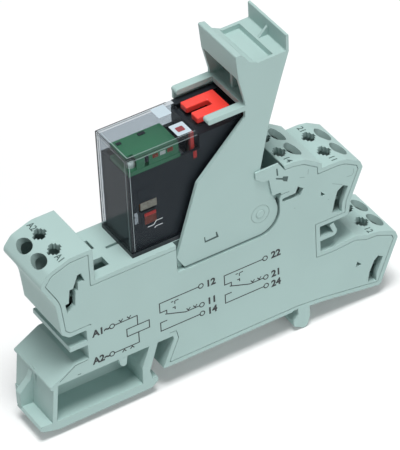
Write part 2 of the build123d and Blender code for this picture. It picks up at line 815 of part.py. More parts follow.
def coil_blade(side):
    y = side * pole_y
    face = rect(coil_bx - blade_t / 2, coil_bx + blade_t / 2, blade_z, bobbin_z0 + 2.0)
    return solid(slab(face, y - blade_w / 2, y + blade_w / 2))


def lamp_board():
    """Indicator board on the edge of the tub, its lamp and its resistors."""
    x0, x1 = tub_x0 + 0.1, button_x0 - 5.4
    top = tub_top + 1.0
    board = plate(rect(x0, x1, -tub_out + 0.05, 1.8), tub_top, top)
    lamp = plate(Pos(x0 + 1.6, -3.4) * Circle(1.0), top, top + 1.2)
    lamp = fillet(lamp.edges().group_by(Axis.Z)[-1], 0.5)
    resistors = [plate(rect(x, x + 1.9, -tub_out + 0.4, -tub_out + 1.6), top, top + 0.7)
                 for x in (x0 + 5.2, x0 + 8.6)]
    return solid(board), solid(lamp), Compound(resistors)


def build():
    """Every piece by its node name."""
    pieces = {"base_housing": base_housing()}
    pieces["front_cover"] = cover(-1)
    pieces["rear_cover"] = cover(1)
    pieces["lever"] = lever()
    for name, kind, side in terminals:
        pieces[f"current_bar_{name}"] = bar_solid(kind, side)
        pieces[f"clamp_spring_{name}"] = clamp_solid(kind, side)
    pieces["relay_base"] = relay_base()
    pieces["relay_cover"] = relay_cover()
    pieces["contact_cap"] = contact_cap()
    pieces["test_button"] = test_button()
    bobbin, winding, core, yoke = coil_parts()
    pieces["coil_bobbin"] = bobbin
    pieces["coil_winding"] = winding
    pieces["coil_core"] = core
    pieces["yoke"] = yoke
    pieces["armature"] = armature()
    pieces["actuator_card"] = card()
    pieces["position_flag"] = flag()
    for label, side in (("front", -1), ("rear", 1)):
        common, leaf, rest, made = pole(side)
        pieces[f"common_blade_{label}"] = common
        pieces[f"moving_spring_{label}"] = leaf
        pieces[f"break_contact_{label}"] = rest
        pieces[f"make_contact_{label}"] = made
        pieces[f"coil_blade_{label}"] = coil_blade(side)
    board, lamp, resistors = lamp_board()
    pieces["indicator_board"] = board
    pieces["indicator_lamp"] = lamp
    pieces["board_resistors"] = resistors
    return pieces


if __name__ == "__main__":
    os.makedirs("parts", exist_ok=True)
    for name, shape in build().items():
        export_step(shape, f"parts/{name}.step")
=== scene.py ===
import bpy
import bmesh
import math
from mathutils import Matrix, Vector
from mathutils.bvhtree import BVHTree


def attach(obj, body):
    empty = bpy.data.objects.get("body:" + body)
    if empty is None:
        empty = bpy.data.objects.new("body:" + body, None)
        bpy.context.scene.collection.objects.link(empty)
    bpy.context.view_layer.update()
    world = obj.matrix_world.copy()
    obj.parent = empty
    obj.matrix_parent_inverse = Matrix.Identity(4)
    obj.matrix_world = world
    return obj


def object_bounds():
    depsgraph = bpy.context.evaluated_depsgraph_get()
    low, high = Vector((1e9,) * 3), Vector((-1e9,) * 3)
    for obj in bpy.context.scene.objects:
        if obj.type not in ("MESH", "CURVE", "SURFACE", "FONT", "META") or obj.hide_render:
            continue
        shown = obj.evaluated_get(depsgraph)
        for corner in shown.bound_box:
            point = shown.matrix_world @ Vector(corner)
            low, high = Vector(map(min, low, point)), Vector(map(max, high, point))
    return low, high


# The solids of the relay module, their finishes, the small pieces added to them, the
# camera and the studio. Sizes are in millimetres and are turned into metres by MM.

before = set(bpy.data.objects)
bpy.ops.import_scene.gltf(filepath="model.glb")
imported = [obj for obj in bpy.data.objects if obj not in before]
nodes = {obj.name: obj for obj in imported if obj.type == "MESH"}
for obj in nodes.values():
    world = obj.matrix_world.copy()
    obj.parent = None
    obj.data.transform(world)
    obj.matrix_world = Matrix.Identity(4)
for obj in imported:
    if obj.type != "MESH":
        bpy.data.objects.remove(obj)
cad_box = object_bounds()

MM = 0.001
SIDES = ("front", "rear")
TERMINALS = ("a1", "a2", "11", "12", "14", "21", "22", "24")

# Planes of the solids that carry added pieces
FRONT_Y = -7.5
LEVER_Y = -7.0
PAN_Y = -6.1
COVER_Y = 6.05
COVER_LEFT = -19.8
COVER_TOP = 55.3
COVER_FOOT = 32.0
LIFT = 0.012

# Wire funnels and the driver holes beside them: funnel x, z and tilt, hole x and z
ENTRIES = (
    (-39.35, 37.2, -32, -35.6, 38.5),
    (20.6, 38.4, 30, 17.3, 39.1),
    (31.55, 33.6, 30, 28.1, 34.5),
    (40.2, 10.8, 30, 36.9, 12.0),
)
POLE_Y = 2.9
DUCT_DEPTH = 5.2
DUCT_END_R = 1.18
HOLE_DEPTH = 2.6
HOLE_FLOOR = (1.0, 1.2)

# Funnels widen from the round duct, FUNNEL_FOOT below the entry, to an oval mouth
DUCT_R = 1.2
FUNNEL_FOOT = 4.2
FUNNEL_DEEP = 5.1
FUNNEL_WIDER = 0.6
FUNNEL_LONGER = 1.45

# Printed and pressed marks
LINE = 0.24
MARK = 1.65
TOP_MARK = 1.4
FONT_SCALE = 1.4
SLICE = 0.13


# Material helpers

def base_material(name):
    """New material, its tree, its Principled shader and an object-space coordinate."""
    mat = bpy.data.materials.new(name)
    mat.use_nodes = True
    tree = mat.node_tree
    shader = tree.nodes["Principled BSDF"]
    coord = tree.nodes.new("ShaderNodeTexCoord")
    return mat, tree, shader, coord.outputs["Object"]


def noise(tree, coord, scale, detail=3.0, rough=0.5):
    node = tree.nodes.new("ShaderNodeTexNoise")
    node.inputs["Scale"].default_value = scale
    node.inputs["Detail"].default_value = detail
    node.inputs["Roughness"].default_value = rough
    tree.links.new(coord, node.inputs["Vector"])
    return node.outputs["Fac"]


def ramp(tree, source, low, high, start=0.35, stop=0.65):
    node = tree.nodes.new("ShaderNodeValToRGB")
    node.color_ramp.elements[0].position = start
    node.color_ramp.elements[1].position = stop
    node.color_ramp.elements[0].color = (*low, 1)
    node.color_ramp.elements[1].color = (*high, 1)
    tree.links.new(source, node.inputs["Fac"])
    return node.outputs["Color"]


def span(tree, source, low, high):
    node = tree.nodes.new("ShaderNodeMapRange")
    node.inputs["To Min"].default_value = low
    node.inputs["To Max"].default_value = high
    tree.links.new(source, node.inputs["Value"])
    return node.outputs["Result"]


def relief(tree, shader, height, strength, distance, edge=0.0):
    """Fine bump, over edges rounded by a small radius."""
    bump = tree.nodes.new("ShaderNodeBump")
    bump.inputs["Strength"].default_value = strength
    bump.inputs["Distance"].default_value = distance
    tree.links.new(height, bump.inputs["Height"])
    if edge:
        bevel = tree.nodes.new("ShaderNodeBevel")
        bevel.samples = 4
        bevel.inputs["Radius"].default_value = edge
        tree.links.new(bevel.outputs["Normal"], bump.inputs["Normal"])
    tree.links.new(bump.outputs["Normal"], shader.inputs["Normal"])


def plastic(name, color, vary, rough, grain, edge, specular=0.5):
    """Moulded plastic: broad tone drift, fine spark-eroded grain, rounded edges."""
    mat, tree, shader, coord = base_material(name)
    low = tuple(c * (1 - vary) for c in color)
    high = tuple(min(1.0, c * (1 + vary)) for c in color)
    drift = noise(tree, coord, 60.0, 2.0)
    tree.links.new(ramp(tree, drift, low, high), shader.inputs["Base Color"])
    fine = noise(tree, coord, 5200.0, 2.0)
    blotch = noise(tree, coord, 900.0, 3.0)
    tree.links.new(span(tree, blotch, rough - 0.06, rough + 0.06), shader.inputs["Roughness"])
    shader.inputs["Specular IOR Level"].default_value = specular
    relief(tree, shader, fine, grain, 0.00003, edge)
    return mat


def metal(name, low, high, rough, scale=(1.0, 1.0, 1.0)):
    """Rolled or plated strip with faint drawing marks."""
    mat, tree, shader, coord = base_material(name)
    stretch = tree.nodes.new("ShaderNodeMapping")
    stretch.inputs["Scale"].default_value = scale
    tree.links.new(coord, stretch.inputs["Vector"])
    marks = noise(tree, stretch.outputs["Vector"], 1500.0, 4.0)
    tree.links.new(ramp(tree, marks, low, high, 0.3, 0.7), shader.inputs["Base Color"])
    tree.links.new(span(tree, marks, rough - 0.08, rough + 0.1), shader.inputs["Roughness"])
    shader.inputs["Metallic"].default_value = 1.0
    relief(tree, shader, marks, 0.15, 0.00001)
    return mat


def winding_material():
    """Enamelled wire, layer on layer."""
    mat, tree, shader, coord = base_material("copper_winding")
    wave = tree.nodes.new("ShaderNodeTexWave")
    wave.bands_direction = "Z"
    wave.inputs["Scale"].default_value = 1300.0
    wave.inputs["Distortion"].default_value = 0.6
    tree.links.new(coord, wave.inputs["Vector"])
    turns = wave.outputs["Fac"]
    tree.links.new(ramp(tree, turns, (0.16, 0.045, 0.014), (0.62, 0.22, 0.075), 0.1, 0.8),
                   shader.inputs["Base Color"])
    shader.inputs["Metallic"].default_value = 0.6
    shader.inputs["Roughness"].default_value = 0.32
    relief(tree, shader, turns, 0.6, 0.00006)
    return mat


def clear_material(name, tint, body, share):
    """See-through moulding: tinted view, a little haze and a glossy skin."""
    mat, tree, shader, coord = base_material(name)
    shader.inputs["Base Color"].default_value = (*body, 1)
    smear = noise(tree, coord, 260.0, 3.0)
    tree.links.new(span(tree, smear, 0.03, 0.09), shader.inputs["Roughness"])
    shader.inputs["Specular IOR Level"].default_value = 0.6
    relief(tree, shader, noise(tree, coord, 90.0, 2.0), 0.03, 0.0001)
    clear = tree.nodes.new("ShaderNodeBsdfTransparent")
    clear.inputs["Color"].default_value = (*tint, 1)
    skin = tree.nodes.new("ShaderNodeLayerWeight")
    skin.inputs["Blend"].default_value = 0.5
    steep = tree.nodes.new("ShaderNodeMath")
    steep.operation = "POWER"
    steep.inputs[1].default_value = 4.0
    tree.links.new(skin.outputs["Facing"], steep.inputs[0])
    mix = tree.nodes.new("ShaderNodeMixShader")
    tree.links.new(span(tree, steep.outputs[0], share, 1.0), mix.inputs["Fac"])
    tree.links.new(clear.outputs["BSDF"], mix.inputs[1])
    tree.links.new(shader.outputs["BSDF"], mix.inputs[2])
    out = tree.nodes["Material Output"]
    tree.links.new(mix.outputs["Shader"], out.inputs["Surface"])
    return mat


housing_mat = plastic("housing_plastic", (0.388, 0.53, 0.507), 0.02, 0.54, 0.3, 0.00016, 0.25)
# Painted shade: a dark plastic laid in recesses, slots, holes and pressed marks to stand for the
# shade in them
painted_shade_mat = plastic("painted_recess_shade", (0.075, 0.115, 0.11), 0.1, 0.7, 0.2, 0.0, 0.2)
# Painted shade for fine moulded lines and for the wall under the lever's lower edge
line_shading_mat = plastic("painted_shade_line", (0.2, 0.285, 0.275), 0.05, 0.6, 0.2, 0.0, 0.3)
# Painted shade for the inner walls of the wire funnels
painted_funnel_mat = plastic("painted_funnel_shade", (0.235, 0.325, 0.31), 0.05, 0.6, 0.2, 0.0, 0.2)
black_mat = plastic("relay_black_plastic", (0.014, 0.018, 0.023), 0.06, 0.4, 0.05, 0.0001, 0.4)
red_mat = plastic("button_red_plastic", (0.9, 0.055, 0.04), 0.05, 0.36, 0.2, 0.00015)
cream_mat = plastic("bobbin_cream_plastic", (0.62, 0.6, 0.53), 0.05, 0.5, 0.25, 0.0001)
board_mat = plastic("board_green_lacquer", (0.06, 0.26, 0.12), 0.2, 0.3, 0.3, 0.0)
brown_mat = plastic("resistor_lacquer", (0.32, 0.06, 0.03), 0.15, 0.3, 0.2, 0.0001)
lamp_mat = plastic("lamp_cast", (0.75, 0.78, 0.72), 0.05, 0.15, 0.1, 0.0001)
ink_mat = plastic("black_print", (0.018, 0.022, 0.024), 0.1, 0.55, 0.2, 0.0)
white_mat = plastic("white_print", (0.78, 0.82, 0.86), 0.04, 0.5, 0.2, 0.0)
deep_red_mat = plastic("flag_window_red", (0.22, 0.02, 0.03), 0.3, 0.3, 0.1, 0.0)
label_mat = plastic("label_film", (0.5, 0.6, 0.66), 0.04, 0.4, 0.1, 0.0)
# Painted highlight for the bright lines along the clear cover's edges
edge_highlight_mat = plastic("cover_edge_painted_glint", (0.3, 0.36, 0.38), 0.1, 0.2, 0.1, 0.0)
tab_mat = metal("terminal_tab", (0.3, 0.26, 0.2), (0.55, 0.49, 0.4), 0.35)
tin_mat = metal("tinned_strip", (0.5, 0.49, 0.46), (0.72, 0.71, 0.68), 0.3, (1, 0.1, 1))
steel_mat = metal("spring_strip", (0.42, 0.43, 0.44), (0.62, 0.63, 0.64), 0.28, (1, 0.1, 1))
bronze_mat = metal("contact_strip", (0.45, 0.24, 0.12), (0.72, 0.42, 0.24), 0.3, (1, 1, 0.1))
iron_mat = metal("plated_iron", (0.4, 0.4, 0.4), (0.6, 0.6, 0.59), 0.35)
smoke_mat = clear_material("smoke_cover", (0.82, 0.85, 0.87), (0.05, 0.06, 0.07), 0.05)


# CAD nodes and their finishes

finishes = {
    "base_housing": housing_mat,
    "front_cover": housing_mat,
    "rear_cover": housing_mat,
    "lever": housing_mat,
    "relay_base": black_mat,
    "relay_cover": smoke_mat,
    "contact_cap": black_mat,
    "test_button": red_mat,
    "position_flag": red_mat,
    "coil_bobbin": cream_mat,
    "coil_winding": winding_material(),
    "coil_core": iron_mat,
    "yoke": iron_mat,
    "armature": iron_mat,
    "actuator_card": cream_mat,
    "indicator_board": board_mat,
    "indicator_lamp": lamp_mat,
    "board_resistors": brown_mat,
}
for mark in TERMINALS:
    finishes[f"current_bar_{mark}"] = tin_mat
    finishes[f"clamp_spring_{mark}"] = steel_mat
for side in SIDES:
    finishes[f"common_blade_{side}"] = tin_mat
    finishes[f"coil_blade_{side}"] = tin_mat
    finishes[f"moving_spring_{side}"] = bronze_mat
    finishes[f"break_contact_{side}"] = bronze_mat
    finishes[f"make_contact_{side}"] = bronze_mat
for name, mat in finishes.items():
    mesh = nodes[name].data
    if not mesh.materials:
        mesh.materials.append(mat)
    for index in range(len(mesh.materials)):
        mesh.materials[index] = mat


# Added pieces

def add_mesh(name, mesh, mat, body):
    obj = bpy.data.objects.new(name, mesh)
    bpy.context.scene.collection.objects.link(obj)
    mesh.materials.append(mat)
    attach(obj, body)
    return obj


def add_bmesh(name, bm, mat, body):
    mesh = bpy.data.meshes.new(name)
    bm.to_mesh(mesh)
    bm.free()
    return add_mesh(name, mesh, mat, body)


def ribbon_into(bm, points, width, lift, place):
    """Flat printed stroke along 2-D points, mitred at its corners."""
    pts = [Vector(p) for p in points]
    closed = (pts[0] - pts[-1]).length < 1e-9
    if closed:
        pts = pts[:-1]
    count = len(pts)
    left, right = [], []
    for i, here in enumerate(pts):
        before = pts[i - 1] if closed or i else None
        after = pts[(i + 1) % count] if closed or i < count - 1 else None
        a = (here - before).normalized() if before is not None else None
        b = (after - here).normalized() if after is not None else None
        a = b if a is None else a
        b = a if b is None else b
        side = Vector((-(a.y + b.y), a.x + b.x))
        side = side.normalized() * (width / 2 / max(0.5, math.sqrt((1 + a.dot(b)) / 2)))
        left.append(bm.verts.new(place(here + side, lift)))
        right.append(bm.verts.new(place(here - side, lift)))
    for i in range(count if closed else count - 1):
        j = (i + 1) % count
        bm.faces.new((left[i], left[j], right[j], right[i]))


def on_front(plane_y):
    """Places (x, z) points, in millimetres, on a face that looks to -Y."""
    return lambda p, lift: Vector((p.x * MM, (plane_y - lift) * MM, p.y * MM))


def on_rear(plane_y):
    return lambda p, lift: Vector((p.x * MM, (plane_y + lift) * MM, p.y * MM))


def on_left(plane_x):
    return lambda p, lift: Vector(((plane_x - lift) * MM, p.x * MM, p.y * MM))


def on_top(plane_z):
    return lambda p, lift: Vector((p.x * MM, p.y * MM, (plane_z + lift) * MM))


def strokes(name, runs, width, place, mat, body, lift=LIFT):
    bm = bmesh.new()
    for run in runs:
        ribbon_into(bm, run, width, lift, place)
    bmesh.ops.recalc_face_normals(bm, faces=bm.faces)
    return add_bmesh(name, bm, mat, body)


def ring(x, z, r, steps=24):
    turns = [2 * math.pi * i / steps for i in range(steps + 1)]
    return [(x + r * math.cos(t), z + r * math.sin(t)) for t in turns]


def words(name, text, size, matrix, mat, body, bold=0.0):
    """Flat lettering turned into a mesh."""
    curve = bpy.data.curves.new(name + "_curve", "FONT")
    curve.body = text
    curve.size = size * MM * FONT_SCALE
    curve.align_x = "CENTER"
    curve.align_y = "CENTER"
    curve.offset = bold * MM
    curve.resolution_u = 4
    draft = bpy.data.objects.new(name + "_draft", curve)
    bpy.context.scene.collection.objects.link(draft)
    depsgraph = bpy.context.evaluated_depsgraph_get()
    mesh = bpy.data.meshes.new_from_object(draft.evaluated_get(depsgraph))
    bpy.data.objects.remove(draft)
    mesh.name = name
    mesh.transform(matrix)
    return add_mesh(name, mesh, mat, body)


def facing(x, y, z, normal, across):
    """Matrix for a flat piece at a point, its face along the normal."""
    n = Vector(normal).normalized()
    a = Vector(across).normalized()
    up = n.cross(a)
    turn = Matrix((a, up, n)).transposed().to_4x4()
    return Matrix.Translation(Vector((x, y, z)) * MM + n * 0.00002) @ turn


def bevelled(name, low, high, bevel, mat, body):
    """Small component with rounded edges."""
    bm = bmesh.new()
    bmesh.ops.create_cube(bm, size=1.0)
    size = Vector(high) - Vector(low)
    middle = (Vector(high) + Vector(low)) / 2
    for v in bm.verts:
        v.co = Vector(a * b for a, b in zip(v.co, size)) + middle
        v.co *= MM
    bmesh.ops.bevel(bm, geom=list(bm.edges), offset=bevel * MM, segments=3, profile=0.5,
                    affect="EDGES")
    for face in bm.faces:
        face.smooth = True
    return add_bmesh(name, bm, mat, body)


# Printed wiring diagram on the front cover

front = on_front(FRONT_Y)


def contact_diagram(x, name):
    """One changeover contact, drawn from its common terminal at x."""
    top, mid, low = 17.5, 12.5, 10.2
    left = x - 9.9
    runs = [
        [(x - 0.55, top), (left, top), (left, top - 2.45), (left + 1.6, top - 2.45),
         (left + 1.6, top - 3.4)],
        [(x - 0.55, mid), (x - 3.9, mid), (left + 1.2, mid + 1.7)],
        [(x - 0.55, low), (left, low), (left, low + 2.2), (left + 1.6, low + 2.2)],
        ring(x, top, 0.55),
        ring(x, mid, 0.55),
        ring(x, low, 0.55),
    ]
    for dx in (-1.6, -3.2):
        runs.append([(x + dx - 0.45, mid + 0.75), (x + dx, mid + 0.15),
                     (x + dx + 0.45, mid + 0.75)])
    link = x - 6.3
    runs.append([(link - 0.9, top - 0.9), (link - 0.35, top - 0.9)])
    runs.append([(link + 0.1, top - 0.9), (link + 0.9, top - 0.9)])
    runs.append([(link, top - 0.9), (link, top - 1.7)])
    runs.append([(link, top - 2.3), (link, top - 3.1)])
    runs.append([(link - 0.6, top - 2.5), (link, top - 2.5)])
    strokes(name, runs, LINE, front, ink_mat, "housing")


contact_diagram(-5.3, "contact_diagram_1")
contact_diagram(10.2, "contact_diagram_2")
coil_runs = [
    ring(-26.4, 17.0, 0.55),
    ring(-26.85, 9.85, 0.55),
    [(-25.85, 17.0), (-20.5, 17.0), (-20.5, 14.55)],
    [(-26.3, 9.85), (-20.4, 9.85), (-20.4, 12.6)],
    [(-23.1, 12.6), (-17.8, 12.6), (-17.8, 14.55), (-23.1, 14.55), (-23.1, 12.6)],
]
for x in (-24.3, -22.4):
    coil_runs.append([(x - 0.45, 17.8), (x, 17.2), (x + 0.45, 17.8)])
    coil_runs.append([(x - 0.15, 9.05), (x + 0.3, 9.65), (x + 0.75, 9.05)])
strokes("coil_diagram", coil_runs, LINE, front, ink_mat, "housing")

front_marks = (
    ("A1~", -28.95, 16.95), ("A2~", -29.3, 9.85), ("12", -2.95, 17.3), ("11", -2.9, 12.6),
    ("14", -2.9, 10.0), ("22", 12.8, 17.5), ("21", 12.7, 12.5), ("24", 12.6, 9.9),
)
for number, (text, x, z) in enumerate(front_marks):
    words(f"front_mark_{number}", text, MARK, facing(x, FRONT_Y, z, (0, -1, 0), (1, 0, 0)),
          ink_mat, "housing", 0.1)


# Marks pressed into the tops of the terminals, drawn in painted shade and laid on the housing's
# surface

housing_skin = BVHTree.FromPolygons(
    [v.co for v in nodes["base_housing"].data.vertices],
    [list(p.vertices) for p in nodes["base_housing"].data.polygons])


def drape(mesh, x, above):
    """Cuts a flat mesh into narrow slices and lets it down on to the housing."""
    bm = bmesh.new()
    bm.from_mesh(mesh)
    for step in range(-5, 6):
        bmesh.ops.bisect_plane(bm, geom=bm.verts[:] + bm.edges[:] + bm.faces[:], dist=1e-7,
                               plane_co=((x + step * SLICE) * MM, 0, 0), plane_no=(1, 0, 0))
    for v in bm.verts:
        start = Vector((v.co.x, v.co.y, above * MM))
        hit = housing_skin.ray_cast(start, Vector((0, 0, -1)))[0]
        if hit is not None:
            v.co.z = hit.z + 0.000015
    bm.to_mesh(mesh)
    bm.free()


top_marks = (
    ("A2", -35.75, 5.75, 41.0), ("A1", -36.1, -5.85, 41.0), ("21", 28.2, 5.75, 37.0),
    ("11", 28.2, -6.05, 37.0), ("14", 17.35, -6.05, 41.0), ("24", 17.35, 5.75, 41.0),
    ("12", 36.5, -6.05, 14.0), ("22", 36.5, 5.75, 14.0),
)
for number, (text, x, y, above) in enumerate(top_marks):
    mark = words(f"top_mark_{number}", text, TOP_MARK, facing(x, y, above, (0, 0, 1), (0, -1, 0)),
                 painted_shade_mat, "housing", 0.04)
    drape(mark.data, x, above)


# Moulded lines and small openings on the front of the housing and lever: flat patches and strokes
# of painted shade stand for the shade in them

def patch(name, shapes, place, mat, body, lift=LIFT):
    """Flat closed shapes on one face."""
    bm = bmesh.new()
    for shape in shapes:
        bm.faces.new([bm.verts.new(place(Vector(p), lift)) for p in shape])
    bmesh.ops.recalc_face_normals(bm, faces=bm.faces)
    return add_bmesh(name, bm, mat, body)


patch("latch_opening_shade", [
    [(13.7, 39.3), (14.0, 39.2), (14.15, 37.3), (13.75, 37.5)],
    [(13.5, 37.0), (15.1, 36.3), (15.3, 36.6), (16.5, 36.1), (16.2, 34.9), (15.3, 35.4),
     (15.1, 35.85), (13.6, 36.6)],
], front, painted_shade_mat, "housing")
patch("lever_catch_shade", [
    [(-3.65, 29.2), (-3.4, 29.1), (-3.3, 28.1), (-3.55, 27.7)],
    [(-3.55, 27.7), (-3.3, 28.1), (-0.75, 28.2), (-0.2, 27.75)],
    [(-0.9, 29.2), (-0.6, 29.3), (-0.2, 27.75), (-0.75, 28.15)],
], on_front(LEVER_Y), painted_shade_mat, "lever")
patch("foot_line_shade", [
    [(-32.4, 11.1), (-35.4, 11.0), (-39.2, 8.5), (-39.3, 8.3), (-35.35, 10.85), (-32.4, 11.0)],
    [(-35.1, 8.35), (-34.2, 8.3), (-34.3, 8.15), (-35.0, 8.2)],
], front, painted_shade_mat, "housing")
# The cover runs flush to the recess and to the foot's loop
patch("cover_edge", [
    [(-31.45, 19.65), (-30.9, 19.65), (-30.9, 8.95), (-13.2, 8.95), (-13.2, 8.25),
     (-31.45, 8.25)],
], front, housing_mat, "housing", 0.006)
# Painted shade in the deep corner of the pocket beside the relay
patch("pocket_shade", [
    [(-10.5, 23.6), (-10.5, 30.5), (-8.2, 30.5), (-9.9, 26.5), (-9.6, 23.6)],
], on_front(PAN_Y), painted_shade_mat, "housing", 0.02)
strokes("cover_shade_lines", [
    [(21.35, 35.8), (21.2, 34.5)],
    [(19.2, 34.5), (20.4, 34.1)],
    [(32.25, 31.0), (32.25, 30.0), (31.75, 29.45), (30.55, 29.6)],
    [(27.0, 29.4), (29.4, 28.1)],
    [(25.85, 25.8), (26.1, 25.7)],
    [(17.6, 27.3), (17.9, 27.15)],
], 0.1, front, line_shading_mat, "housing")


# Painted shadow line at the foot of the lever's pocket, and a band of painted shade as the wall
# under the lever's lower edge

def pocket_arc(radius):
    """Rounded corner of the pocket, from straight below its centre to the right of it."""
    centre_x, centre_z = 9.15, 28.55
    turns = [math.radians(a) for a in range(0, 91, 9)]
    return [(centre_x + radius * math.sin(t), centre_z - radius * math.cos(t))
            for t in turns]


strokes("pocket_shadow_line", [[(-8.7, 23.6)] + pocket_arc(4.95) + [(14.1, 30.6)]], 0.26,
        on_front(PAN_Y), painted_shade_mat, "housing", 0.02)
wall_path = [(-8.7, 23.47)] + pocket_arc(5.08) + [(14.23, 31.0)]
band = bmesh.new()
outer = [band.verts.new((x * MM, -7.3 * MM, (z + 0.02) * MM)) for x, z in wall_path]
inner = [band.verts.new((x * MM, -6.15 * MM, (z + 0.02) * MM)) for x, z in wall_path]
for i in range(len(wall_path) - 1):
    band.faces.new((outer[i], outer[i + 1], inner[i + 1], inner[i]))
add_bmesh("pocket_wall_shade", band, line_shading_mat, "housing")


# Discs of painted shade at the ends of the wire ducts, where the closed clamps lie, and on the
# floors of the driver holes

def disc_into(bm, matrix, half_x, half_y, steps=24):
    """Flat oval closing a hole."""
    turns = [2 * math.pi * i / steps for i in range(steps)]
    bm.faces.new([bm.verts.new(matrix @ Vector((half_x * MM * math.cos(t),
                                                half_y * MM * math.sin(t), 0)))
                  for t in turns])


def tilt_axis(tilt):
    return Vector((math.sin(math.radians(tilt)), 0, math.cos(math.radians(tilt))))


ducts = bmesh.new()
for x, z, tilt, star_x, star_z in ENTRIES:
    lean = tilt_axis(tilt)
    for y in (-POLE_Y, POLE_Y):
        end = Vector((x, y, z)) - lean * DUCT_DEPTH
        disc_into(ducts, facing(*end, lean, (0, 1, 0)), DUCT_END_R, DUCT_END_R)
        disc_into(ducts, facing(star_x, y, star_z - HOLE_DEPTH, (0, 0, 1), (1, 0, 0)),
                  *HOLE_FLOOR)
add_bmesh("duct_end_shade", ducts, painted_shade_mat, "housing")

# Painted shade inside the wire funnels: their inner walls take a darker plastic
housing_mesh = nodes["base_housing"].data
housing_mesh.materials.append(painted_funnel_mat)
painted_funnel_index = len(housing_mesh.materials) - 1
for x, z, tilt, _, _ in ENTRIES:
    lean = tilt_axis(tilt)
    side = Vector((lean.z, 0, -lean.x))
    for y in (-POLE_Y, POLE_Y):
        for face in housing_mesh.polygons:
            offset = face.center / MM - Vector((x, y, z))
            height = offset.dot(lean)
            grow = (height + FUNNEL_FOOT) / FUNNEL_DEEP
            across = offset.dot(side) / (DUCT_R + FUNNEL_WIDER * grow)
            along = offset.y / (DUCT_R + FUNNEL_LONGER * grow)
            near_wall = abs(math.hypot(across, along) - 1) < 0.15
            inward = face.normal.dot(side * across + Vector((0, along, 0))) < -0.5
            if -4.5 < height < 2.0 and near_wall and inward:
                face.material_index = painted_funnel_index


# Relay: label window, contact symbol and parts on the board

strokes("cover_symbol", [
    [(-15.9, 36.9), (-14.45, 36.9), (-13.85, 37.7), (-12.35, 37.7)],
    [(-14.35, 36.0), (-13.95, 36.35), (-12.4, 36.35)],
], 0.13, on_front(-COVER_Y), white_mat, "relay")


def panel(name, x0, x1, y0, y1, z, mat, lift):
    """Flat label with rounded corners on top of the relay."""
    bm = bmesh.new()
    corner = 0.25
    pts = []
    for cx, cy, start in ((x1, y1, 0), (x0, y1, 90), (x0, y0, 180), (x1, y0, 270)):
        inx = cx - corner if cx == x1 else cx + corner
        iny = cy - corner if cy == y1 else cy + corner
        for step in range(5):
            angle = math.radians(start + step * 22.5)
            pts.append((inx + corner * math.cos(angle), iny + corner * math.sin(angle)))
    bm.faces.new([bm.verts.new((x * MM, y * MM, (z + lift) * MM)) for x, y in pts])
    return add_bmesh(name, bm, mat, "relay")


panel("flag_label", -7.2, -3.95, -5.1, -1.3, COVER_TOP, label_mat, 0.015)
panel("flag_window", -6.45, -4.75, -4.05, -2.45, COVER_TOP, deep_red_mat, 0.03)
panel("blank_label", -7.3, -4.2, 2.1, 5.5, COVER_TOP, label_mat, 0.015)
panel("cap_band_rear", -2.2, 9.0, 4.05, 5.95, COVER_TOP, black_mat, 0.01)
panel("cap_band_right", 7.45, 9.0, -5.95, 4.0, COVER_TOP, black_mat, 0.01)
bevelled("cap_wall", (-2.5, 4.95, 53.85), (8.4, 5.4, 54.65), 0.05, black_mat, "relay")
bevelled("flag_foot", (-4.14, -5.43, 48.6), (-3.34, -5.37, 50.35), 0.02, red_mat, "slider")

# Upper board with its front strip, in front of the lamp's board
bevelled("upper_board", (-17.0, -5.2, 53.7), (-7.3, 1.9, 54.4), 0.1, board_mat, "relay")
bevelled("upper_board_end", (-18.9, -3.6, 53.7), (-16.8, 1.9, 54.4), 0.1, board_mat, "relay")
bevelled("strip_left", (-17.0, -5.25, 51.38), (-15.1, -4.9, 53.8), 0.08, board_mat, "relay")
bevelled("strip_notch", (-15.2, -5.2, 52.3), (-14.1, -4.9, 53.8), 0.08, black_mat, "relay")
bevelled("strip_right", (-14.2, -5.25, 51.38), (-7.3, -4.9, 53.8), 0.08, board_mat, "relay")
for number, (x, mat, slot) in enumerate((
        (-12.7, brown_mat, "resistor_brown"), (-11.0, lamp_mat, "lamp_green"),
        (-9.3, brown_mat, "resistor_brown"))):
    bevelled(f"strip_part_{number}", (x - 0.65, -5.4, 52.7), (x + 0.65, -5.2, 53.6), 0.08, mat,
             "relay")

# Window in the tub: blind above, terminal tab and red tongue in it
bevelled("window_blind", (-17.4, -5.42, 42.9), (-13.2, -5.36, 46.3), 0.02, black_mat, "relay")
bevelled("window_tab", (-16.9, -5.43, 41.0), (-13.1, -5.37, 42.8), 0.02, tab_mat, "relay")
bevelled("window_tongue", (-16.1, -5.43, 37.1), (-13.4, -5.37, 39.2), 0.02, brown_mat, "relay")
bevelled("window_tongue_top", (-16.1, -5.435, 39.1), (-13.4, -5.37, 39.9), 0.02, red_mat,
         "relay")
bevelled("side_lug", (-18.4, -5.43, 38.2), (-17.6, -5.37, 41.0), 0.02, steel_mat, "relay")

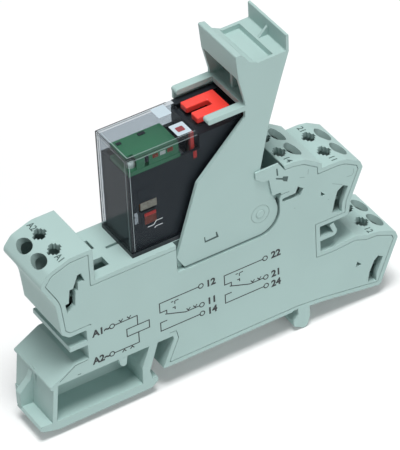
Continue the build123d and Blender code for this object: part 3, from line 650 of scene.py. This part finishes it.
# Painted shade and painted highlight along the edges of the clear cover: dark lines in black
# plastic outside, bright lines where the inner wall begins
for name, inset, wide, mat, slot in (("edge_line_painted_shade", 0.2, 0.2, black_mat, "relay_black"),
                                     ("edge_line_painted_light", 0.66, 0.13, edge_highlight_mat, "smoke_clear")):
    x0, x1, y0 = COVER_LEFT + inset, -3.4, COVER_Y - inset
    high = COVER_TOP - inset
    side_run = [(x0, COVER_FOOT), (x0, high), (x1, high)]
    end_run = [(-y0, COVER_FOOT), (-y0, high), (y0, high), (y0, COVER_FOOT)]
    for face, run, place in (
            ("top", [(x1, -y0), (x0, -y0), (x0, y0), (x1, y0)], on_top(COVER_TOP)),
            ("front", side_run, on_front(-COVER_Y)),
            ("rear", side_run, on_rear(COVER_Y)),
            ("end", end_run, on_left(COVER_LEFT))):
        strokes(f"{name}_{face}", [run], wide, place, mat, "relay")

# Lever: flange under the rear arm, dimple on the pivot pin
bevelled("arm_flange", (-1.28, 6.22, 54.9), (7.6, 6.98, 56.9), 0.15, housing_mat, "lever")
dimple = bmesh.new()
bmesh.ops.create_cone(dimple, cap_ends=True, segments=40, radius1=1.05 * MM, radius2=0.8 * MM,
                      depth=0.12 * MM)
bmesh.ops.transform(dimple, verts=dimple.verts,
                    matrix=facing(9.8, -7.04, 29.0, (0, -1, 0), (1, 0, 0)))
add_bmesh("pin_dimple", dimple, housing_mat, "housing")

# Lug under the housing's plate, in the foot's loop
lug = bmesh.new()
front_ring = [(-25.6, 8.0), (-24.9, 5.5), (-24.2, 5.1), (-23.6, 5.5), (-23.2, 8.0)]
near = [lug.verts.new((x * MM, -7.45 * MM, z * MM)) for x, z in front_ring]
far = [lug.verts.new((x * MM, -6.1 * MM, z * MM)) for x, z in front_ring]
lug.faces.new(near)
lug.faces.new(far[::-1])
for i in range(len(near)):
    j = (i + 1) % len(near)
    lug.faces.new((near[j], near[i], far[i], far[j]))
bmesh.ops.recalc_face_normals(lug, faces=lug.faces)
bmesh.ops.bevel(lug, geom=[e for e in lug.edges], offset=0.12 * MM, segments=2, profile=0.5,
                affect="EDGES")
add_bmesh("loop_lug", lug, housing_mat, "housing")

for number, (x, y, long, wide) in enumerate((
        (-17.6, 0.6, 1.1, 0.8), (-12.2, 0.9, 1.6, 0.9))):
    bevelled(f"board_chip_{number}", (x - long / 2, y - wide / 2, 54.38),
             (x + long / 2, y + wide / 2, 54.62), 0.08, black_mat, "relay")


# Camera from the fitted view

AZ, EL, ROLL = math.radians(-29.768), math.radians(39.014), math.radians(-3.184)
FOCAL_PX = 3834.36
PICTURE_H = 450
DIST = 0.78177
target = Vector((-0.000417, 0.0, 0.026218))
fwd = Vector((-math.sin(AZ) * math.cos(EL), math.cos(AZ) * math.cos(EL), -math.sin(EL)))
right = Vector((math.cos(AZ), math.sin(AZ), 0))
up = right.cross(fwd)
right_r = right * math.cos(ROLL) + up * math.sin(ROLL)
up_r = up * math.cos(ROLL) - right * math.sin(ROLL)
lens = bpy.data.cameras.new("camera")
lens.sensor_fit = "VERTICAL"
lens.sensor_height = 36.0
lens.lens = FOCAL_PX * 36.0 / PICTURE_H
lens.clip_start = 0.01
lens.clip_end = 20.0
camera = bpy.data.objects.new("camera", lens)
bpy.context.scene.collection.objects.link(camera)
turn = Matrix((right_r, up_r, -fwd)).transposed().to_4x4()
camera.matrix_world = Matrix.Translation(target - fwd * DIST) @ turn
bpy.context.scene.camera = camera


# Floor, world and lights

def view_rays(tree):
    """1 for rays that the background should look white to."""
    path = tree.nodes.new("ShaderNodeLightPath")
    first = tree.nodes.new("ShaderNodeMath")
    first.operation = "MAXIMUM"
    second = tree.nodes.new("ShaderNodeMath")
    second.operation = "MAXIMUM"
    tree.links.new(path.outputs["Is Camera Ray"], first.inputs[0])
    tree.links.new(path.outputs["Is Glossy Ray"], first.inputs[1])
    tree.links.new(first.outputs[0], second.inputs[0])
    tree.links.new(path.outputs["Is Transmission Ray"], second.inputs[1])
    return second.outputs[0]


def floor_material():
    mat, tree, shader, coord = base_material("floor_white")
    drift = noise(tree, coord, 3.0)
    tree.links.new(ramp(tree, drift, (0.8, 0.8, 0.8), (0.82, 0.82, 0.82)),
                   shader.inputs["Base Color"])
    shader.inputs["Roughness"].default_value = 0.9
    shader.inputs["Specular IOR Level"].default_value = 0.1
    shader.inputs["Emission Color"].default_value = (1, 1, 1, 1)
    lift = tree.nodes.new("ShaderNodeMath")
    lift.operation = "MULTIPLY"
    lift.inputs[1].default_value = 0.12
    tree.links.new(view_rays(tree), lift.inputs[0])
    tree.links.new(lift.outputs[0], shader.inputs["Emission Strength"])
    return mat


floor_z = cad_box[0][2] - 0.00005
bm = bmesh.new()
bmesh.ops.create_grid(bm, x_segments=4, y_segments=4, size=3.0)
floor_mesh = bpy.data.meshes.new("floor")
bm.to_mesh(floor_mesh)
bm.free()
floor_mesh.transform(Matrix.Translation((0, 0, floor_z)))
floor_mesh.materials.append(floor_material())
floor = bpy.data.objects.new("floor", floor_mesh)
bpy.context.scene.collection.objects.link(floor)

world = bpy.data.worlds.new("studio")
bpy.context.scene.world = world
world.use_nodes = True
tree = world.node_tree
ambient = tree.nodes["Background"]
ambient.inputs["Color"].default_value = (0.95, 0.98, 1.0, 1)
ambient.inputs["Strength"].default_value = 0.22
seen = tree.nodes.new("ShaderNodeBackground")
seen.inputs["Color"].default_value = (1, 1, 1, 1)
seen.inputs["Strength"].default_value = 1.0
mix = tree.nodes.new("ShaderNodeMixShader")
tree.links.new(view_rays(tree), mix.inputs["Fac"])
tree.links.new(ambient.outputs["Background"], mix.inputs[1])
tree.links.new(seen.outputs["Background"], mix.inputs[2])
tree.links.new(mix.outputs["Shader"], tree.nodes["World Output"].inputs["Surface"])


def softbox(name, place, aim, size, power, color):
    light = bpy.data.lights.new(name, "AREA")
    light.shape = "RECTANGLE"
    light.size, light.size_y = size
    light.energy = power
    light.color = color
    lamp = bpy.data.objects.new(name, light)
    bpy.context.scene.collection.objects.link(lamp)
    aim_dir = Vector(aim) - Vector(place)
    lamp.matrix_world = (Matrix.Translation(place)
                         @ aim_dir.to_track_quat("-Z", "Y").to_matrix().to_4x4())


softbox("key", (-0.15, -0.4, 2.4), (0, 0, 0.02), (0.9, 0.9), 56.0, (1.0, 1.0, 1.0))
softbox("fill", (0.5, -1.9, 0.5), (0, 0, 0.02), (1.2, 0.8), 9.0, (0.97, 0.99, 1.0))
bpy.context.scene.view_settings.view_transform = "Standard"
